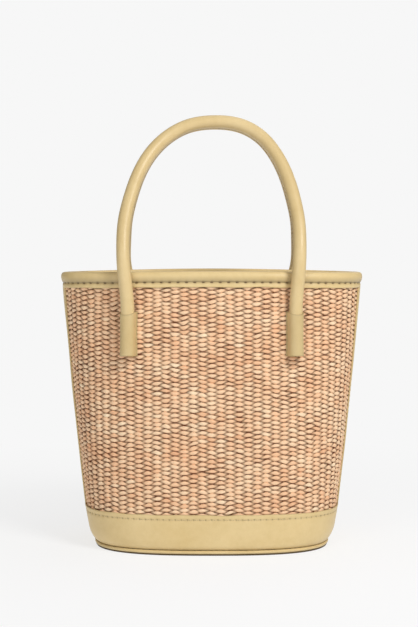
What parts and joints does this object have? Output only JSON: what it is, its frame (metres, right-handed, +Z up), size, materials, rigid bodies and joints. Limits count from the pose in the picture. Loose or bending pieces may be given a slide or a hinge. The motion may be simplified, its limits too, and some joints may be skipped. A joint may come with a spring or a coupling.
{
  "type": "basket bag",
  "caption": "Oval woven straw tub bag with smooth leather rim binding, base band and side strips, and rolled leather top handles that swing outward.",
  "frame": {"origin": "on the floor, at the middle of the base", "axes": "+Z up through the opening, +X across the wide front, the front faces -Y"},
  "size_m": [0.2516, 0.15, 0.3569],
  "materials": {
    "straw": "woven paper straw, pinkish tan and cream, matt to satin",
    "leather": "smooth pale yellow leather, fine grain, soft satin",
    "lining": "plain cotton twill, matt",
    "board": "grey-brown pressed board",
    "cord": "twisted cotton filler cord"
  },
  "bodies": {
    "bag": {"woven_front_panel": "straw", "woven_back_panel": "straw", "lining": "lining", "left_side_strip": "leather", "right_side_strip": "leather", "rim_binding": "leather", "base_band": "leather", "base_piping": "leather", "base_panel": "leather", "base_board": "board", "front_left_sleeve": "leather", "front_right_sleeve": "leather", "back_left_sleeve": "leather", "back_right_sleeve": "leather"},
    "front_handle": {"front_handle_cover": "leather", "front_handle_cord": "cord"},
    "back_handle": {"back_handle_cover": "leather", "back_handle_cord": "cord"}
  },
  "joints": [
    {"name": "front_handle_swing", "type": "hinge", "parent": "bag", "child": "front_handle", "pos_m": [0, -0.0608, 0.1987], "axis": [1, 0, 0], "range_deg": [0, 90]},
    {"name": "back_handle_swing", "type": "hinge", "parent": "bag", "child": "back_handle", "pos_m": [0, 0.0608, 0.1987], "axis": [-1, 0, 0], "range_deg": [0, 90]}
  ]
}
